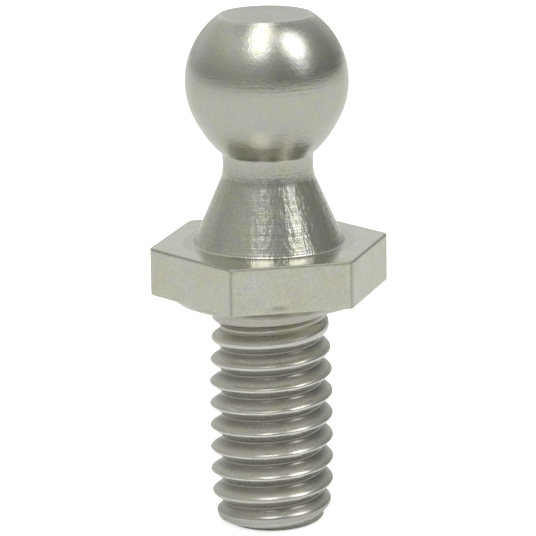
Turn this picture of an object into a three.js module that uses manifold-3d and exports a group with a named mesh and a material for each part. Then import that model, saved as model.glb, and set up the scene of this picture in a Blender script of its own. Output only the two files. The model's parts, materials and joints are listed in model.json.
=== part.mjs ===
// Ball stud, turned and thread-rolled from one piece of hexagon bar: a threaded shank, a washer-faced
// hexagon for the spanner, a tapered shoulder, a short neck, and a ball with a flat on its pole.
// Millimetres. The origin is the centre of the thread's end face, and +Z runs up the axis to the ball.

import * as THREE from "three";
import Module from "manifold-3d";
import { mergeVertices } from "three/addons/utils/BufferGeometryUtils.js";

const wasm = await Module();
wasm.setup();

// Heights above the thread's end face
const SEAT_Z = 14.4;
const WASHER_FACE_HEIGHT = 0.5;
const HEXAGON_HEIGHT = 2.95;
const SHOULDER_HEIGHT = 4.25;
const NECK_HEIGHT = 1.35;
const BALL_CENTRE_ABOVE_HEXAGON = 10.05;

// Thread, 5/16-18 UNC: the top turns are not fully formed, and the end tapers in
const THREAD_RADIUS = 7.72 / 2;
const THREAD_PITCH = 25.4 / 18;
const THREAD_FLANK_ANGLE = THREE.MathUtils.degToRad(30);
const ROOT_FLAT = THREAD_PITCH / 4;
const CREST_FLAT = THREAD_PITCH / 8;
const END_FACE_RADIUS = 2.75;
const END_CHAMFER_RADIUS = 3.4;
const END_CHAMFER_HEIGHT = 0.3;
const END_TAPER_RADIUS = 3.7;
const END_TAPER_HEIGHT = 1.4;
const FULL_THREAD_FROM = 2.9;
const FULL_THREAD_TO = 9.0;
const WEAK_CREST_RADIUS = 3.72;
const WEAK_CREST_Z = 11.2;
const COLLAR_RADIUS = 3.62;
const COLLAR_FROM = 12.5;

// Helix of the thread groove: one point of it, where it leaves the shank, and how it fades out
const GROOVE_ANGLE = THREE.MathUtils.degToRad(168.3);
const GROOVE_Z = 12.49;
const GROOVE_TOP_Z = 13.45;
const GROOVE_BOTTOM_Z = -0.95;
const RUN_OUT_TURNS = 0.5;
const RUN_OUT_EXPONENT = 2;
const CUTTER_CLEARANCE = 0.05;

// Hexagon, washer face, shoulder, neck and ball
const ACROSS_FLATS = 13;
const WASHER_TOP_RADIUS = 6.4;
const WASHER_RADIUS = 5.88;
const SHOULDER_FOOT_RADIUS = 4.65;
const SHOULDER_TOP_RADIUS = 2.76;
const NECK_RADIUS = 2.82;
const BALL_RADIUS = 5;
const BALL_FLAT_RADIUS = 2.86;
const BALL_TRUE_FROM = THREE.MathUtils.degToRad(-30);
const BALL_FLARE_EXPONENT = 1.5;
const HEXAGON_CORNER_ROUNDING = 0.6;

// Facets, and how near two vertices are when they are one
const SIDES = 36;
const BALL_STEPS = 20;
const CORNER_STEPS = 2;
const MERGE_DISTANCE = 1e-5;

const HEXAGON_FROM = SEAT_Z + WASHER_FACE_HEIGHT;
const HEXAGON_TO = HEXAGON_FROM + HEXAGON_HEIGHT;
const NECK_FROM = HEXAGON_TO + SHOULDER_HEIGHT;
const BALL_CENTRE_Z = HEXAGON_TO + BALL_CENTRE_ABOVE_HEXAGON;
const BALL_FLAT_LATITUDE = Math.acos(BALL_FLAT_RADIUS / BALL_RADIUS);
const LIP_BELOW_BALL_CENTRE = BALL_CENTRE_Z - NECK_FROM - NECK_HEIGHT;
const LIP_LATITUDE = -Math.atan2(LIP_BELOW_BALL_CENTRE, NECK_RADIUS);
const LIP_DISTANCE = Math.hypot(LIP_BELOW_BALL_CENTRE, NECK_RADIUS);

// A closed geometry as a solid that can be joined and cut
function toSolid(geometry) {
  geometry.deleteAttribute("normal");
  geometry.deleteAttribute("uv");
  const merged = mergeVertices(geometry, MERGE_DISTANCE);
  const mesh = new wasm.Mesh({
    numProp: 3,
    vertProperties: new Float32Array(merged.attributes.position.array),
    triVerts: new Uint32Array(merged.index.array),
  });
  return new wasm.Manifold(mesh);
}

function toGeometry(solid) {
  const mesh = solid.getMesh();
  const geometry = new THREE.BufferGeometry();
  geometry.setAttribute("position", new THREE.BufferAttribute(mesh.vertProperties, 3));
  geometry.setIndex(new THREE.BufferAttribute(mesh.triVerts, 1));
  geometry.computeVertexNormals();
  return geometry;
}

// Outline of the shank from the axis at its end face up to the seat: [radius, height]
function shankOutline() {
  return [
    [0, 0],
    [END_FACE_RADIUS, 0],
    [END_CHAMFER_RADIUS, END_CHAMFER_HEIGHT],
    [END_TAPER_RADIUS, END_TAPER_HEIGHT],
    [THREAD_RADIUS, FULL_THREAD_FROM],
    [THREAD_RADIUS, FULL_THREAD_TO],
    [WEAK_CREST_RADIUS, WEAK_CREST_Z],
    [COLLAR_RADIUS, COLLAR_FROM],
    [COLLAR_RADIUS, SEAT_Z],
  ];
}

// Washer face, then a step inside the hexagon, where the shoulder's cone starts
function seatOutline() {
  const joint = (HEXAGON_FROM + HEXAGON_TO) / 2;
  const coneSlope = (SHOULDER_FOOT_RADIUS - SHOULDER_TOP_RADIUS) / SHOULDER_HEIGHT;
  return [
    [WASHER_RADIUS, SEAT_Z],
    [WASHER_TOP_RADIUS, HEXAGON_FROM],
    [WASHER_TOP_RADIUS, joint],
    [SHOULDER_FOOT_RADIUS + coneSlope * (HEXAGON_TO - joint), joint],
    [SHOULDER_TOP_RADIUS, NECK_FROM],
  ];
}

// The ball is a true sphere above BALL_TRUE_FROM, and below it runs out a little fuller to meet the neck
function ballSurfaceDistance(latitude) {
  const belowTrue = Math.max(0, (BALL_TRUE_FROM - latitude) / (BALL_TRUE_FROM - LIP_LATITUDE));
  return BALL_RADIUS + (LIP_DISTANCE - BALL_RADIUS) * belowTrue ** BALL_FLARE_EXPONENT;
}

// From the lip, where the neck meets the ball, up to the flat on the ball's pole
function ballOutline() {
  const points = [];
  for (let i = 0; i <= BALL_STEPS; i++) {
    const latitude = THREE.MathUtils.lerp(LIP_LATITUDE, BALL_FLAT_LATITUDE, i / BALL_STEPS);
    const distance = ballSurfaceDistance(latitude);
    points.push([distance * Math.cos(latitude), BALL_CENTRE_Z + distance * Math.sin(latitude)]);
  }
  points.push([0, BALL_CENTRE_Z + BALL_RADIUS * Math.sin(BALL_FLAT_LATITUDE)]);
  return points;
}

// Everything that is round, turned about +Z
function turnedBlank() {
  const outline = [...shankOutline(), ...seatOutline(), ...ballOutline()];
  const geometry = new THREE.LatheGeometry(outline.map(([r, z]) => new THREE.Vector2(r, z)), SIDES);
  geometry.rotateX(Math.PI / 2);
  return toSolid(geometry);
}

// Hexagon with its rounded corners on the X axis, so that two of its flats face -Y and +Y
function hexagon() {
  const centreDistance = (ACROSS_FLATS / 2 - HEXAGON_CORNER_ROUNDING) / Math.cos(Math.PI / 6);
  const shape = new THREE.Shape();
  for (let i = 0; i < 6; i++) {
    const angle = (i * Math.PI) / 3;
    const x = centreDistance * Math.cos(angle);
    const y = centreDistance * Math.sin(angle);
    shape.absarc(x, y, HEXAGON_CORNER_ROUNDING, angle - Math.PI / 6, angle + Math.PI / 6, false);
  }
  const options = { depth: HEXAGON_HEIGHT, bevelEnabled: false, curveSegments: CORNER_STEPS };
  const geometry = new THREE.ExtrudeGeometry(shape, options);
  geometry.translate(0, 0, HEXAGON_FROM);
  return toSolid(geometry);
}

// Path of the groove's root, a right-hand helix followed from its run-out down past the end face.
// Points are spaced by equal turns, and the profile stands radially outwards at each of them.
class GroovePath extends THREE.Curve {
  constructor() {
    super();
    this.turns = (GROOVE_TOP_Z - GROOVE_BOTTOM_Z) / THREAD_PITCH;
    this.rootRadius = THREAD_RADIUS - grooveDepth();
  }

  angle(t) {
    const heightAboveKnownPoint = GROOVE_TOP_Z - t * this.turns * THREAD_PITCH - GROOVE_Z;
    return GROOVE_ANGLE + (2 * Math.PI * heightAboveKnownPoint) / THREAD_PITCH;
  }

  getPoint(t, target = new THREE.Vector3()) {
    const runOut = Math.max(0, 1 - (t * this.turns) / RUN_OUT_TURNS) ** RUN_OUT_EXPONENT;
    const radius = this.rootRadius + runOut * (grooveDepth() + CUTTER_CLEARANCE);
    const z = THREE.MathUtils.lerp(GROOVE_TOP_Z, GROOVE_BOTTOM_Z, t);
    return target.set(radius * Math.cos(this.angle(t)), radius * Math.sin(this.angle(t)), z);
  }

  getPointAt(t, target) {
    return this.getPoint(t, target);
  }

  computeFrenetFrames(segments) {
    const frames = { tangents: [], normals: [], binormals: [] };
    for (let i = 0; i <= segments; i++) {
      const angle = this.angle(i / segments);
      frames.tangents.push(new THREE.Vector3(Math.sin(angle), -Math.cos(angle), 0));
      frames.normals.push(new THREE.Vector3(Math.cos(angle), Math.sin(angle), 0));
      frames.binormals.push(new THREE.Vector3(0, 0, 1));
    }
    return frames;
  }
}

function grooveDepth() {
  return (THREAD_PITCH - ROOT_FLAT - CREST_FLAT) / 2 / Math.tan(THREAD_FLANK_ANGLE);
}

// The metal that the thread lacks: a V with a flat root, swept along the helix
function threadGroove() {
  const height = grooveDepth() + CUTTER_CLEARANCE;
  const halfMouth = ROOT_FLAT / 2 + height * Math.tan(THREAD_FLANK_ANGLE);
  const profile = new THREE.Shape();
  profile.moveTo(0, -ROOT_FLAT / 2);
  profile.lineTo(height, -halfMouth);
  profile.lineTo(height, halfMouth);
  profile.lineTo(0, ROOT_FLAT / 2);
  const path = new GroovePath();
  const steps = Math.round(path.turns * SIDES);
  return toSolid(new THREE.ExtrudeGeometry(profile, { steps, extrudePath: path }));
}

function ballStud() {
  const zincPlatedSteel = new THREE.MeshStandardMaterial({ color: 0xb6b6ac, roughness: 0.32, metalness: 1 });
  const solid = turnedBlank().add(hexagon()).subtract(threadGroove());
  const mesh = new THREE.Mesh(toGeometry(solid), zincPlatedSteel);
  mesh.name = "ball_stud";
  return mesh;
}

const part = new THREE.Group();
part.add(ballStud());

export default part;
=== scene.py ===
"""Looks of the ball stud: one turned, thread-rolled and zinc-plated piece, standing on a pale floor.

The fine surface is one closed mesh of rings about the stud's axis. Lengths in the shape functions are
millimetres above the thread's end face, and everything becomes metres when the mesh is made.
"""
import json
import math

import bpy
import numpy as np
from mathutils import Matrix, Vector


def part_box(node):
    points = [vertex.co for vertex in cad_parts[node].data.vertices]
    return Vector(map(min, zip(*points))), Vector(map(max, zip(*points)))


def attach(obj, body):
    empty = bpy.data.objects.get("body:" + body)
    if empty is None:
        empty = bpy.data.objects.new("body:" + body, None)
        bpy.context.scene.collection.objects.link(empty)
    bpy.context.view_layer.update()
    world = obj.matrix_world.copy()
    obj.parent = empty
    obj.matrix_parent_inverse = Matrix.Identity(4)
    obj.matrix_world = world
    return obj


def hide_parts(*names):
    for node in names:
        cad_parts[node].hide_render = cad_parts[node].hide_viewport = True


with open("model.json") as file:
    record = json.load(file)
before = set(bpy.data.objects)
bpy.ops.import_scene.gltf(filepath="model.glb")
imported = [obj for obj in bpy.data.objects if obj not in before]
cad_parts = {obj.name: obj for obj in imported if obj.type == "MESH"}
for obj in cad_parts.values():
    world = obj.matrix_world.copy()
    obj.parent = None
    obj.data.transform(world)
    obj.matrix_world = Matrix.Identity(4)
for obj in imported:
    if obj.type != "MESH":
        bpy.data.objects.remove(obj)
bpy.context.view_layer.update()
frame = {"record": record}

MM = 0.001
BOX_HIGH = np.array(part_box("ball_stud")[1]) / MM
MOUNT_MM = {mount["name"]: np.array(mount["pos_m"]) / MM for mount in frame["record"]["mounts"]}

# Heights and sizes from the frame
SEAT = MOUNT_MM["seat"][2]
TOP = BOX_HIGH[2]
APOTHEM = -MOUNT_MM["spanner_flat"][1]
CORNER = BOX_HIGH[0]

# Washer face and hexagon
WASHER_FACE_HEIGHT = 0.5
HEXAGON_HEIGHT = 2.95
HEXAGON_FROM = SEAT + WASHER_FACE_HEIGHT
HEXAGON_TO = HEXAGON_FROM + HEXAGON_HEIGHT
HEXAGON_BEVEL = 0.10
WASHER_RADIUS = 5.88
WASHER_TOP_RADIUS = 6.36
COS_30 = math.cos(math.pi / 6)
CORNER_ROUNDING = (APOTHEM / COS_30 - CORNER) / (1 / COS_30 - 1)
SMALLEST_ROUNDING = 0.05

# Shoulder, neck and ball
SHOULDER_HEIGHT = 4.25
NECK_HEIGHT = 1.35
NECK_FROM = HEXAGON_TO + SHOULDER_HEIGHT
LIP = NECK_FROM + NECK_HEIGHT
SHOULDER_FOOT_RADIUS = 4.65
SHOULDER_FINISH_RADIUS = SHOULDER_FOOT_RADIUS + 0.6
SHOULDER_TOP_RADIUS = 2.80
NECK_WAIST_RADIUS = 2.78
NECK_WAIST_TO = LIP - 0.4
NECK_RADIUS = 2.82
BALL_RADIUS = 5.0
BALL_FLAT_RADIUS = 2.86
BALL_TRUE_FROM = math.radians(-30)
BALL_FLARE_EXPONENT = 1.5
BALL_CENTRE = TOP - math.sqrt(BALL_RADIUS ** 2 - BALL_FLAT_RADIUS ** 2)

# Thread
PITCH = 25.4 / 18
FLANK_SLOPE = math.tan(math.radians(30))
ROOT_FLAT = PITCH / 4
THREAD_RADIUS = 7.72 / 2
THREAD_DEPTH = (PITCH * 5 / 8) / 2 / FLANK_SLOPE
ROOT_ROUNDING = 0.34
CREST_ROUNDING = 0.36
COLLAR_RADIUS = 3.62
COLLAR_FROM = SEAT - 1.9
GROOVE_ANGLE = math.radians(168.3)
GROOVE_HEIGHT = 12.49
GROOVE_TOP = 13.45
RUN_OUT_TURNS = 0.5
CUTTER_CLEARANCE = 0.05
SHANK_OUTLINE = ((0, 2.75), (0.3, 3.4), (1.4, 3.7), (2.9, THREAD_RADIUS), (9.0, THREAD_RADIUS),
                 (11.2, 3.72), (COLLAR_FROM, COLLAR_RADIUS), (SEAT, COLLAR_RADIUS))

# Rounding of the turned corners, and how much of a neighbouring side a rounding may take up
FILLET_REACH_SHARE = 0.45
END_FILLET = 0.06
COLLAR_FILLET = 0.1
COLLAR_FILLET_REACH = 0.14
WASHER_FILLET = 0.08
SHOULDER_FOOT_FILLET = 0.2
SHOULDER_TOP_FILLET = 4.0
LIP_FILLET = 0.3
BALL_RIM_FILLET = 0.09

# Small knocks in the hexagon's faces: angle about the axis, height, width, height of the dent and depth
DENTS = ((-97.0, 15.42, 0.42, 0.19, 0.085), (-129.0, 15.0, 0.12, 0.12, 0.03),
         (-75.5, 17.68, 0.16, 0.10, 0.06), (-119.0, 17.70, 0.13, 0.08, 0.05),
         (41.0, 16.2, 0.25, 0.2, 0.04), (160.0, 17.6, 0.2, 0.12, 0.05))

# How strongly painted shade darkens and a painted highlight lightens parts of the shape, from 0 to 1
PAINTED_SHADE_ROOT, PAINTED_SHADE_WAIST, PAINTED_SHADE_END = 0.85, 0.25, 0.45
PAINTED_HIGHLIGHT_CREST, PAINTED_HIGHLIGHT_RIM = 0.3, 0.35

# Where those parts begin and end. A flank begins at ROOT_TO above the middle of its groove.
EDGE_LINE_WIDTH = 0.085
PAINTED_HIGHLIGHT_RIM_WIDTH = 0.07
ROOT_TO = 0.14
FLANK_FROM_DEPTH = 0.08
CREST_TO_DEPTH = 0.12
PAINTED_SHADE_END_FROM, PAINTED_SHADE_END_TO = 1.4, 1.1

# How coarse the plating's colour and grain are, as noise scales per millimetre
BLOTCHES, PATCHES, GRAIN = 0.55, 1.7, 7.0

# Turns a highlight's stretch from around the axis to across the tool marks, as a share of a whole turn
QUARTER_TURN = 0.25

# Mesh density
RING_STEP_DEGREES = 2.1
SHANK_ROW = 0.08
HEXAGON_ROWS = 30
SHOULDER_FILLET_POINTS = 16
BALL_ROWS = 88


# ---- Shape ----

def ring_angles():
    """Angles of the mesh's columns: evenly spaced, with more of them where the hexagon turns its corners."""
    near_corner = np.array([0.0, 0.4, 0.8, 1.2, 1.6, 2.0, 2.4, 2.8, 3.4, 4.6])
    middle = np.arange(6.5, 29.0, RING_STEP_DEGREES)
    half = np.concatenate([near_corner, middle])
    sector = np.concatenate([half, [30.0], 60.0 - half[:0:-1]])
    return np.radians(np.concatenate([sector + 60.0 * i for i in range(6)]))


ANGLES = ring_angles()


def smooth_min(a, b, width):
    """The smaller of a and b, rounded over where they meet."""
    blend = np.clip(0.5 + 0.5 * (b - a) / width, 0.0, 1.0)
    return b + (a - b) * blend - width * blend * (1.0 - blend)


def rise(value, start, end):
    """From 0 at start to 1 at end, and flat beyond them. It falls instead where end is below start."""
    return np.clip((value - start) / (end - start), 0.0, 1.0)


def hexagon_radius(inset):
    """Radius of the hexagon's outline at each column, moved inwards by inset."""
    apothem = APOTHEM - inset
    rounding = max(CORNER_ROUNDING - inset, SMALLEST_ROUNDING)
    from_corner = np.abs((ANGLES + math.pi / 6) % (math.pi / 3) - math.pi / 6)
    centre = (apothem - rounding) / COS_30
    end_of_arc = math.atan2(rounding / 2, centre + rounding * COS_30)
    arc = centre * np.cos(from_corner) + np.sqrt(
        np.maximum(rounding ** 2 - (centre * np.sin(from_corner)) ** 2, 0.0))
    flat = apothem / np.cos(math.pi / 6 - from_corner)
    return np.where(from_corner < end_of_arc, arc, flat)


def blank_radius(height):
    """Radius of the shank before its thread is rolled."""
    heights, radii = zip(*SHANK_OUTLINE)
    return np.interp(height, heights, radii)


def above_groove(height):
    """Height above the middle of the nearest turn of the groove, at each column."""
    turns = (height - GROOVE_HEIGHT) / PITCH - (ANGLES - GROOVE_ANGLE) / (2 * math.pi)
    return (turns - np.round(turns)) * PITCH


def thread_radius(height):
    """Radius of the shank at each column at this height: the rolled blank less the helical groove."""
    from_groove = above_groove(height)
    flank = (np.abs(from_groove) - ROOT_FLAT / 2) / FLANK_SLOPE
    groove = THREAD_RADIUS - THREAD_DEPTH - smooth_min(-flank, np.zeros_like(flank), ROOT_ROUNDING)
    turns_below_top = (GROOVE_TOP - (height - from_groove)) / PITCH
    run_out = np.maximum(1.0 - turns_below_top / RUN_OUT_TURNS, 0.0)
    groove = groove + run_out ** 2 * (THREAD_DEPTH + CUTTER_CLEARANCE)
    return smooth_min(groove, np.full_like(groove, blank_radius(height)), CREST_ROUNDING)


def fillet(points, radii, steps=6):
    """A polyline of (radius, height) with its corners rounded to the given radii."""
    out = []
    for i, point in enumerate(points):
        if radii[i] == 0:
            out.append(point)
            continue
        here = np.array(point)
        back = np.array(points[i - 1]) - here
        ahead = np.array(points[i + 1]) - here
        back_length, ahead_length = np.linalg.norm(back), np.linalg.norm(ahead)
        back, ahead = back / back_length, ahead / ahead_length
        half = math.acos(float(np.clip(back @ ahead, -1, 1))) / 2
        reach = min(radii[i] / math.tan(half), FILLET_REACH_SHARE * min(back_length, ahead_length))
        start, end = here + back * reach, here + ahead * reach
        for t in np.linspace(0.0, 1.0, steps):
            out.append(tuple((1 - t) ** 2 * start + 2 * t * (1 - t) * here + t ** 2 * end))
    return out


def ball_arc():
    """The ball from the lip up to its flat; below BALL_TRUE_FROM it runs out fuller to meet the neck."""
    below = BALL_CENTRE - LIP
    lip_latitude = -math.atan2(below, NECK_RADIUS)
    lip_distance = math.hypot(below, NECK_RADIUS)
    points = []
    for latitude in np.linspace(lip_latitude, math.acos(BALL_FLAT_RADIUS / BALL_RADIUS), BALL_ROWS):
        under = max(0.0, (BALL_TRUE_FROM - latitude) / (BALL_TRUE_FROM - lip_latitude))
        distance = BALL_RADIUS + (lip_distance - BALL_RADIUS) * under ** BALL_FLARE_EXPONENT
        points.append((distance * math.cos(latitude), BALL_CENTRE + distance * math.sin(latitude)))
    return points


class Rings:
    """Rings of the mesh from the end face up, each with the finish of the strip that leads to it."""

    def __init__(self):
        self.radii, self.heights, self.finishes = [], [], []

    def add(self, radius, height, finish):
        self.radii.append(np.broadcast_to(np.asarray(radius, dtype=float), ANGLES.shape).copy())
        self.heights.append(np.full_like(ANGLES, height))
        self.finishes.append(finish)

    def add_outline(self, points, finish):
        for radius, height in points:
            self.add(radius, height, finish)


def shank_rings(rings):
    edge = thread_radius(0.0)
    for share in (0.25, 0.5, 0.75, 0.9, 0.96, 0.985):
        rings.add(edge * share, 0.0, "thread")
    for turn in np.linspace(0.0, 1.0, 5)[:-1] * math.pi / 2:
        height = END_FILLET * (1 - math.cos(turn))
        rings.add(thread_radius(height) - END_FILLET * (1 - math.sin(turn)), height, "thread")
    for height in np.arange(END_FILLET, SEAT - COLLAR_FILLET_REACH, SHANK_ROW):
        rings.add(thread_radius(height), height, "thread")


def washer_face_rings(rings):
    points = [(COLLAR_RADIUS, SEAT - COLLAR_FILLET_REACH), (COLLAR_RADIUS, SEAT), (4.4, SEAT), (5.2, SEAT),
              (WASHER_RADIUS, SEAT), (WASHER_TOP_RADIUS, HEXAGON_FROM),
              (WASHER_TOP_RADIUS + 0.03, HEXAGON_FROM)]
    rings.add_outline(fillet(points, [0, COLLAR_FILLET, 0, 0, WASHER_FILLET, 0, 0]), "seat")


def hexagon_rings(rings):
    bevel = HEXAGON_BEVEL
    inner = hexagon_radius(bevel)
    for share in (0.5, 0.9):
        rings.add(WASHER_TOP_RADIUS + (inner - WASHER_TOP_RADIUS) * share, HEXAGON_FROM, "seat")
    for turn in np.linspace(0.0, math.pi / 2, 5):
        height = HEXAGON_FROM + bevel * (1 - math.cos(turn))
        rings.add(hexagon_radius(bevel * (1 - math.sin(turn))), height, "flats")
    for height in np.linspace(HEXAGON_FROM + bevel, HEXAGON_TO - bevel, HEXAGON_ROWS)[1:-1]:
        rings.add(hexagon_radius(0.0), height, "flats")
    for turn in np.linspace(0.0, math.pi / 2, 6):
        height = HEXAGON_TO - bevel * (1 - math.sin(turn))
        rings.add(hexagon_radius(bevel * (1 - math.cos(turn))), height, "flats")
    for share in (0.02, 0.06, 0.2, 0.4, 0.6, 0.8, 0.94):
        rings.add(inner + (SHOULDER_FINISH_RADIUS - inner) * share, HEXAGON_TO, "hexagon_top")


def shoulder_rings(rings):
    points = [(SHOULDER_FINISH_RADIUS, HEXAGON_TO), (SHOULDER_FOOT_RADIUS, HEXAGON_TO),
              (SHOULDER_TOP_RADIUS, NECK_FROM), (NECK_WAIST_RADIUS, NECK_WAIST_TO)]
    radii = [0, SHOULDER_FOOT_FILLET, SHOULDER_TOP_FILLET, 0]
    rings.add_outline(fillet(points, radii, SHOULDER_FILLET_POINTS), "shoulder")


def ball_rings(rings):
    arc = ball_arc()
    lip_points = [(NECK_WAIST_RADIUS, NECK_WAIST_TO), (NECK_RADIUS, LIP), arc[3]]
    rim_points = [arc[-3], (BALL_FLAT_RADIUS, TOP), (BALL_FLAT_RADIUS - 0.3, TOP)]
    lip = fillet(lip_points, [0, LIP_FILLET, 0], steps=10)
    rim = fillet(rim_points, [0, BALL_RIM_FILLET, 0], steps=7)
    rings.add_outline(lip[1:-1] + arc[3:-3] + rim[1:-1], "ball")
    for share in (0.9, 0.75, 0.5, 0.25, 0.08):
        rings.add(BALL_FLAT_RADIUS * share, TOP, "ball_flat")


def dent(points):
    """Pushes the hexagon's surface in at each of the knocks."""
    angles = np.arctan2(points[:, 1], points[:, 0])
    radii = np.hypot(points[:, 0], points[:, 1])
    on_hexagon = (points[:, 2] > HEXAGON_FROM) & (radii > APOTHEM - 2 * HEXAGON_BEVEL)
    for degrees, height, width, tall, depth in DENTS:
        off = (angles - math.radians(degrees) + math.pi) % (2 * math.pi) - math.pi
        push = depth * np.exp(-((off * radii / width) ** 2) - ((points[:, 2] - height) / tall) ** 2)
        points[:, :2] *= np.where(on_hexagon, 1.0 - push / radii, 1.0)[:, None]
    return points


def painted_edge_shade_lines(radii, heights):
    """How dark each point is made by the painted shade line along the hexagon's corners and top edges, from 0
    to 1.
    """
    from_corner = (ANGLES + math.pi / 6) % (math.pi / 3) - math.pi / 6
    corner_line = np.exp(-((from_corner * radii / EDGE_LINE_WIDTH) ** 2))
    top_line = np.exp(-(((heights - HEXAGON_TO + HEXAGON_BEVEL / 2) / EDGE_LINE_WIDTH) ** 2))
    on_rim = (radii > hexagon_radius(1.5 * HEXAGON_BEVEL)) & (heights > HEXAGON_FROM - HEXAGON_BEVEL)
    return np.maximum(corner_line, top_line) * on_rim


def painted_shade_parts(radii, heights):
    """Where painted shade darkens the plating, from 0 to 1: the thread's roots and end, and the waist of the
    neck under the ball.
    """
    depth = blank_radius(heights) - radii
    root = rise(depth / THREAD_DEPTH, 0.35, 0.75) * rise(above_groove(heights), ROOT_TO, 0.0)
    root = root * (heights < COLLAR_FROM)
    waist = rise(heights, NECK_FROM + 0.15, NECK_FROM + 0.45) * rise(heights, LIP - 0.36, LIP - 0.48)
    end = rise(heights, PAINTED_SHADE_END_FROM, PAINTED_SHADE_END_TO)
    return np.maximum(np.maximum(PAINTED_SHADE_ROOT * root, PAINTED_SHADE_WAIST * waist), PAINTED_SHADE_END * end)


def painted_highlight_parts(radii, heights):
    """Where a painted highlight lightens the plating, from 0 to 1: the thread's lower flanks and crests, the
    ball's rim.
    """
    depth = blank_radius(heights) - radii
    flank = rise(above_groove(heights), ROOT_TO, 2 * ROOT_TO) * rise(depth, 0.0, FLANK_FROM_DEPTH)
    crest = rise(depth, CREST_TO_DEPTH, 0.0)
    on_thread = heights < COLLAR_FROM
    rim = np.exp(-((np.hypot(radii - BALL_FLAT_RADIUS, heights - TOP) / PAINTED_HIGHLIGHT_RIM_WIDTH) ** 2))
    return np.maximum(np.maximum(flank, PAINTED_HIGHLIGHT_CREST * crest) * on_thread, PAINTED_HIGHLIGHT_RIM * rim)


def stud_mesh(finishes):
    """One closed mesh: a fan at each end and quads between rings, with a material for each finish."""
    rings = Rings()
    shank_rings(rings)
    washer_face_rings(rings)
    hexagon_rings(rings)
    shoulder_rings(rings)
    ball_rings(rings)
    columns, rows = len(ANGLES), len(rings.radii)
    radii, heights = np.array(rings.radii), np.array(rings.heights)
    points = np.stack([radii * np.cos(ANGLES), radii * np.sin(ANGLES), heights], axis=-1).reshape(-1, 3)
    points = np.concatenate([dent(points), [[0.0, 0.0, 0.0], [0.0, 0.0, TOP]]]) * MM

    column = np.arange(columns)
    following = (column + 1) % columns
    low = (np.arange(rows - 1) * columns)[:, None]
    high = low + columns
    quads = np.stack([low + column, low + following, high + following, high + column], axis=-1)
    faces = quads.reshape(-1, 4).tolist()
    slots = np.repeat([finishes.index(name) for name in rings.finishes[1:]], columns).tolist()
    bottom, top, last = rows * columns, rows * columns + 1, (rows - 1) * columns
    faces += [[bottom, int(b), int(a)] for a, b in zip(column, following)]
    faces += [[top, int(last + a), int(last + b)] for a, b in zip(column, following)]
    slots += [finishes.index(rings.finishes[0])] * columns + [finishes.index(rings.finishes[-1])] * columns

    mesh = bpy.data.meshes.new("ball_stud_surface")
    mesh.from_pydata(points.tolist(), [], faces)
    mesh.polygons.foreach_set("material_index", slots)
    mesh.polygons.foreach_set("use_smooth", [True] * len(faces))
    mesh.validate()
    mesh.update()
    for name, part in (("painted_edge_shade", painted_edge_shade_lines), ("painted_shade", painted_shade_parts), ("painted_highlight", painted_highlight_parts)):
        values = part(radii, heights)
        attribute = mesh.attributes.new(name, "FLOAT", "POINT")
        attribute.data.foreach_set("value", np.concatenate([values.ravel(), [0.0, 0.0]]))
    return mesh


# ---- Nodes ----

class Nodes:
    """Short names for building the node tree of a material or a world."""

    def __init__(self, owner):
        owner.use_nodes = True
        self.owner = owner
        self.tree = owner.node_tree

    def add(self, kind, inputs=None, **settings):
        node = self.tree.nodes.new(kind)
        for key, value in settings.items():
            setattr(node, key, value)
        for key, value in (inputs or {}).items():
            self.feed(node.inputs[key], value)
        return node

    def feed(self, socket, value):
        if isinstance(value, bpy.types.NodeSocket):
            self.tree.links.new(value, socket)
        else:
            socket.default_value = value

    def math(self, operation, a, b=0.0, c=0.0):
        return self.add("ShaderNodeMath", {0: a, 1: b, 2: c}, operation=operation).outputs[0]

    def vector(self, x, y, z):
        return self.add("ShaderNodeCombineXYZ", {0: x, 1: y, 2: z}).outputs[0]

    def plus(self, a, b):
        return self.add("ShaderNodeVectorMath", {0: a, 1: b}, operation="ADD").outputs[0]

    def scaled(self, vector, factor):
        return self.add("ShaderNodeVectorMath", {0: vector, "Scale": factor}, operation="SCALE").outputs[0]

    def noise(self, vector, scale, detail=2.0, roughness=0.5):
        inputs = {"Vector": vector, "Scale": scale, "Detail": detail, "Roughness": roughness}
        return self.add("ShaderNodeTexNoise", inputs).outputs["Fac"]

    def spread(self, value, low, high, to_low, to_high):
        inputs = {0: value, 1: low, 2: high, 3: to_low, 4: to_high}
        return self.add("ShaderNodeMapRange", inputs, clamp=True).outputs[0]

    def mix(self, factor, a, b):
        return self.add("ShaderNodeMix", {"Factor": factor, 6: a, 7: b}, data_type="RGBA").outputs[2]

    def painted(self, name):
        """A value that the mesh holds for each of its points."""
        return self.add("ShaderNodeAttribute", attribute_name=name).outputs["Fac"]

    def bump(self, height, distance_mm, normal=None):
        inputs = {"Height": height, "Distance": distance_mm * MM, "Strength": 1.0}
        if normal is not None:
            inputs["Normal"] = normal
        return self.add("ShaderNodeBump", inputs).outputs[0]

    def shade(self, name, value):
        """Sets or feeds one of the material's own values."""
        self.feed(self.tree.nodes["Principled BSDF"].inputs[name], value)


# ---- Materials ----

def place(nodes):
    """Where a point is on the stud, in millimetres: position, radius, direction from the axis and height."""
    position = nodes.scaled(nodes.add("ShaderNodeTexCoord").outputs["Object"], 1 / MM)
    x, y, z = nodes.add("ShaderNodeSeparateXYZ", {0: position}).outputs
    radius = nodes.math("SQRT", nodes.math("MULTIPLY_ADD", x, x, nodes.math("MULTIPLY", y, y)))
    across = nodes.vector(x, y, 0.0)
    outwards = nodes.add("ShaderNodeVectorMath", {0: across}, operation="NORMALIZE").outputs[0]
    return position, radius, outwards, z


def tone(tint, red, green, blue):
    """The tint with each of its channels scaled, as an opaque colour."""
    return (tint[0] * red, tint[1] * green, tint[2] * blue, 1.0)


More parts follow.
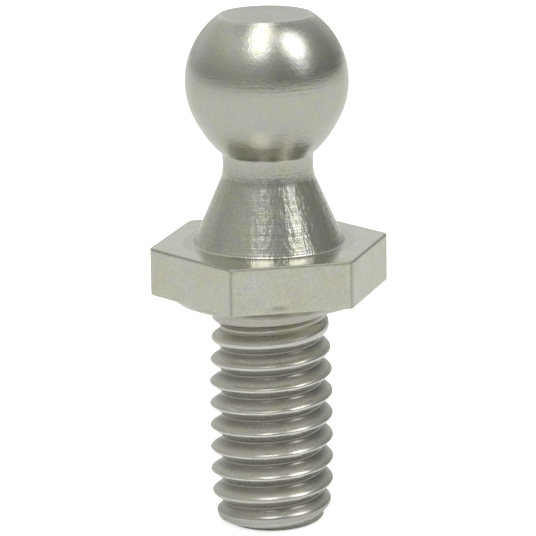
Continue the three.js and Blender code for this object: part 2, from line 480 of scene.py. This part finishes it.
def zinc_plating(name, tint, roughness, marks, marks_mm, grain_mm, grime, brushed=0.0):
    """Zinc-plated steel.

    marks makes the pattern of the tool marks, marks_mm and grain_mm are how deep the marks and the grain are,
    and brushed is how far highlights stretch across tool marks that run around the axis.
    """
    nodes = Nodes(bpy.data.materials.new(name))
    position, radius, outwards, z = place(nodes)
    blotches = nodes.noise(position, BLOTCHES, 4.0, 0.6)
    patches = nodes.noise(position, PATCHES, 3.0)
    grain = nodes.noise(position, GRAIN, 4.0, 0.65)
    pattern = marks(nodes, position, radius, outwards, z)

    yellowed = nodes.mix(nodes.spread(blotches, 0.35, 0.65, 0.0, 1.0), tone(tint, 1, 1, 1),
                         tone(tint, 0.99, 0.99, 0.84))
    violet = nodes.mix(nodes.spread(patches, 0.48, 0.68, 0.0, 0.8), yellowed, tone(tint, 0.97, 0.92, 1.06))
    darkening = nodes.math("MULTIPLY", nodes.spread(grain, 0.3, 0.75, 1.0, 0.0), grime)
    stained = nodes.mix(darkening, violet, tone(tint, 0.55, 0.55, 0.45))
    # Painted shade: a dark line along the hexagon's corners and top edges, broken up by the grain.
    line = nodes.math("MULTIPLY", nodes.painted("painted_edge_shade"), nodes.spread(grain, 0.35, 0.6, 0.25, 0.85))
    edge_shaded = nodes.mix(line, stained, tone(tint, 0.42, 0.42, 0.38))
    # Painted shade in the thread's roots and end and in the neck's waist.
    shaded = nodes.mix(nodes.painted("painted_shade"), edge_shaded, tone(tint, 0.42, 0.41, 0.39))
    # Painted highlight on the thread's lower flanks and crests and on the ball's rim.
    colour = nodes.mix(nodes.painted("painted_highlight"), shaded, (0.88, 0.88, 0.85, 1.0))

    unevenness = nodes.math("ADD", nodes.spread(blotches, 0.3, 0.7, -0.04, 0.05),
                            nodes.spread(pattern, 0.3, 0.7, -0.03, 0.04))
    nodes.shade("Base Color", colour)
    nodes.shade("Metallic", 1.0)
    nodes.shade("Roughness", nodes.math("ADD", unevenness, roughness))
    nodes.shade("Normal", nodes.bump(grain, grain_mm, nodes.bump(pattern, marks_mm)))
    if brushed > 0:
        nodes.shade("Anisotropic", brushed)
        nodes.shade("Anisotropic Rotation", QUARTER_TURN)
        nodes.shade("Tangent", nodes.add("ShaderNodeTangent", direction_type="RADIAL", axis="Z").outputs[0])
    return nodes.owner


def turned(rings_per_mm):
    """Marks that run around the axis. Height and radius both count, so slopes and flats both get them."""
    drift_around, radius_share = 0.5, 0.8

    def marks(nodes, position, radius, outwards, z):
        along = nodes.math("ADD", z, nodes.math("MULTIPLY", radius, radius_share))
        across_rings = nodes.vector(0.0, 0.0, nodes.math("MULTIPLY", along, rings_per_mm))
        return nodes.noise(nodes.plus(nodes.scaled(outwards, drift_around), across_rings), 1.0, 3.0, 0.6)
    return marks


def rippled(rings_per_mm):
    """Turning marks over shallow ripples that run up the cone and break its highlights into streaks."""
    ripples_around, ripples_per_mm, ring_share = 9.0, 0.9, 0.25

    def marks(nodes, position, radius, outwards, z):
        rings = turned(rings_per_mm)(nodes, position, radius, outwards, z)
        along_ripple = nodes.vector(0.0, 0.0, nodes.math("MULTIPLY", z, ripples_per_mm))
        ripples = nodes.noise(nodes.plus(nodes.scaled(outwards, ripples_around), along_ripple), 1.0, 3.0, 0.6)
        return nodes.math("MULTIPLY_ADD", ripples, 1 - ring_share, nodes.math("MULTIPLY", rings, ring_share))
    return marks


def drawn(nodes, position, radius, outwards, z):
    """Marks that run along the axis, as bar stock has on its flats."""
    stretch = (5.0, 5.0, 0.35)
    stretched = nodes.add("ShaderNodeVectorMath", {0: position, 1: stretch}, operation="MULTIPLY").outputs[0]
    return nodes.noise(stretched, 1.0, 4.0, 0.6)


def finish_materials():
    """One material for each finish, in the order of the mesh's slots."""
    return {
        "thread": zinc_plating("thread_zinc", (0.52, 0.51, 0.485), roughness=0.27, marks=turned(3.0),
                               marks_mm=0.006, grain_mm=0.002, grime=0.5),
        "seat": zinc_plating("seat_zinc", (0.66, 0.66, 0.62), roughness=0.32, marks=turned(6.0),
                             marks_mm=0.006, grain_mm=0.002, grime=0.4, brushed=0.4),
        "flats": zinc_plating("hexagon_flats_zinc", (0.63, 0.63, 0.585), roughness=0.38, marks=drawn,
                              marks_mm=0.014, grain_mm=0.005, grime=0.5),
        "hexagon_top": zinc_plating("hexagon_top_zinc", (0.57, 0.57, 0.53), roughness=0.19,
                                    marks=turned(5.0), marks_mm=0.004, grain_mm=0.0015, grime=0.35,
                                    brushed=0.4),
        "shoulder": zinc_plating("shoulder_zinc", (0.54, 0.54, 0.50), roughness=0.20, marks=rippled(9.0),
                                 marks_mm=0.075, grain_mm=0.006, grime=0.4, brushed=0.75),
        "ball": zinc_plating("ball_zinc", (0.51, 0.51, 0.48), roughness=0.21, marks=turned(8.0),
                             marks_mm=0.008, grain_mm=0.013, grime=0.35),
        "ball_flat": zinc_plating("ball_flat_zinc", (0.51, 0.51, 0.485), roughness=0.28, marks=turned(9.0),
                                  marks_mm=0.004, grain_mm=0.0015, grime=0.3, brushed=0.25),
    }


# ---- Stage, light and camera ----

# Floor: how far it reaches each way in metres, its gap below the stud, and its glow. The glow is stronger
# where the camera sees the floor directly, so that it looks pale without lighting the stud from below.
FLOOR_REACH = 6.0
FLOOR_GAP_MM = 0.02
FLOOR_GLOW, FLOOR_GLOW_SEEN_DIRECTLY = 0.06, 0.60

# Tone of the room by the height of the direction, and how much lighter it is on the left than on the right
ROOM_TONES = ((0.0, 0.26), (0.12, 0.29), (0.3, 0.38), (0.5, 0.45), (0.75, 0.66), (0.95, 0.47))
LEFT_SIDE_GAIN, RIGHT_SIDE_GAIN = 1.36, 0.88
LEFT_SIDE_TO, RIGHT_SIDE_FROM = -0.4, 0.1

# Pale backdrop straight behind the stud: where it fades in, and how it fades towards the floor
BACKDROP_FROM, BACKDROP_TO = 0.36, 0.93
BACKDROP_FOOT_SHARE, BACKDROP_FOOT_HEIGHT = 0.4, 0.2
BACKDROP_TONE = 0.84

# Oval softboxes: centre, width and height in metres, watts, and turn about their own axis in degrees
SOFTBOXES = {
    "left_softbox": ((-0.20, -0.31, 1.11), 0.50, 1.30, 4.1, 12.0),
    "right_softbox": ((0.60, -0.46, 1.02), 0.58, 0.76, 3.8, -16.0),
    "low_right_softbox": ((0.70, -0.68, 0.60), 0.46, 0.62, 0.65, 0.0),
}

# Camera: a long lens from a little above. Lengths are in millimetres.
CAMERA_AZIMUTH, CAMERA_ELEVATION = math.radians(-11.70), math.radians(14.485)
CAMERA_DISTANCE = 236.4
LENS_TO_SENSOR_WIDTH = 7.162
AIM_BELOW_HEXAGON_TOP = 1.743
CAMERA_TO_THE_LEFT = 0.09
LEAN = 0.0147


def pale_floor():
    nodes = Nodes(bpy.data.materials.new("pale_floor"))
    speckle = nodes.noise(nodes.add("ShaderNodeTexCoord").outputs["Object"], 40.0, 3.0)
    nodes.shade("Base Color", nodes.mix(speckle, (0.86, 0.86, 0.85, 1.0), (0.90, 0.90, 0.89, 1.0)))
    nodes.shade("Roughness", 0.85)
    nodes.shade("Emission Color", (1.0, 1.0, 1.0, 1.0))
    seen_directly = nodes.add("ShaderNodeLightPath").outputs["Is Camera Ray"]
    glow = nodes.math("MULTIPLY_ADD", seen_directly, FLOOR_GLOW_SEEN_DIRECTLY, FLOOR_GLOW)
    nodes.shade("Emission Strength", glow)
    corners = [(x * FLOOR_REACH, y * FLOOR_REACH, 0) for x, y in ((-1, -1), (1, -1), (1, 1), (-1, 1))]
    mesh = bpy.data.meshes.new("floor")
    mesh.from_pydata(corners, [], [(0, 1, 2, 3)])
    mesh.materials.append(nodes.owner)
    floor = bpy.data.objects.new("floor", mesh)
    floor.location.z = -FLOOR_GAP_MM * MM
    bpy.context.collection.objects.link(floor)


def studio_world():
    """A dim room, lighter on the left and overhead, with a pale backdrop straight behind the stud."""
    nodes = Nodes(bpy.data.worlds.new("studio"))
    direction = nodes.add("ShaderNodeTexCoord").outputs["Generated"]
    x, y, z = nodes.add("ShaderNodeSeparateXYZ", {0: direction}).outputs

    upward = nodes.add("ShaderNodeValToRGB", {0: z})
    for position, _ in ROOM_TONES[1:-1]:
        upward.color_ramp.elements.new(position)
    for element, (position, grey) in zip(upward.color_ramp.elements, ROOM_TONES):
        element.position = position
        element.color = (grey, grey, grey * 0.97, 1.0)
    sideways = nodes.spread(x, LEFT_SIDE_TO, RIGHT_SIDE_FROM, LEFT_SIDE_GAIN, RIGHT_SIDE_GAIN)
    room = nodes.scaled(upward.outputs[0], sideways)

    behind = nodes.spread(y, BACKDROP_FROM, BACKDROP_TO, 0.0, 1.0)
    raised = nodes.spread(z, 0.0, BACKDROP_FOOT_HEIGHT, BACKDROP_FOOT_SHARE, 1.0)
    backdrop = (BACKDROP_TONE, BACKDROP_TONE, BACKDROP_TONE * 0.98, 1.0)
    colour = nodes.mix(nodes.math("MULTIPLY", behind, raised), room, backdrop)
    nodes.feed(nodes.tree.nodes["Background"].inputs["Color"], colour)
    bpy.context.scene.world = nodes.owner


def softbox(name, centre, width, height, watts, turn_degrees):
    """An oval light that faces the ball."""
    data = bpy.data.lights.new(name, "AREA")
    data.shape = "ELLIPSE"
    data.size, data.size_y, data.energy = width, height, watts
    light = bpy.data.objects.new(name, data)
    light.location = centre
    to_ball = Vector((0.0, 0.0, BALL_CENTRE * MM)) - Vector(centre)
    facing = to_ball.to_track_quat("-Z", "Y").to_matrix()
    light.rotation_euler = (facing @ Matrix.Rotation(math.radians(turn_degrees), 3, "Z")).to_euler()
    bpy.context.collection.objects.link(light)


def camera():
    """The view of the reference, in which the stud leans slightly left."""
    level = math.cos(CAMERA_ELEVATION)
    right = Vector((math.cos(CAMERA_AZIMUTH), math.sin(CAMERA_AZIMUTH), 0.0))
    back = Vector((right.y * level, -right.x * level, math.sin(CAMERA_ELEVATION)))
    up = back.cross(right)
    leaning_right = (right - up * LEAN).normalized()
    leaning_up = (up + right * LEAN).normalized()
    data = bpy.data.cameras.new("camera")
    data.lens = LENS_TO_SENSOR_WIDTH * data.sensor_width
    data.clip_start = 0.01
    view = bpy.data.objects.new("camera", data)
    aim = Vector((0.0, 0.0, HEXAGON_TO - AIM_BELOW_HEXAGON_TOP))
    place_at = (aim + back * CAMERA_DISTANCE - right * CAMERA_TO_THE_LEFT) * MM
    rotation = Matrix((leaning_right, leaning_up, back)).transposed().to_4x4()
    view.matrix_world = Matrix.Translation(place_at) @ rotation
    bpy.context.collection.objects.link(view)
    bpy.context.scene.camera = view


# ---- Build ----

materials = finish_materials()
stud_surface = stud_mesh(list(materials))
for material in materials.values():
    stud_surface.materials.append(material)
stud = bpy.data.objects.new("ball_stud_surface", stud_surface)
bpy.context.collection.objects.link(stud)
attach(stud, "root")
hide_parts("ball_stud")

pale_floor()
studio_world()
for name, settings in SOFTBOXES.items():
    softbox(name, *settings)
camera()
bpy.context.scene.view_settings.view_transform = "Standard"

bpy.context.view_layer.update()
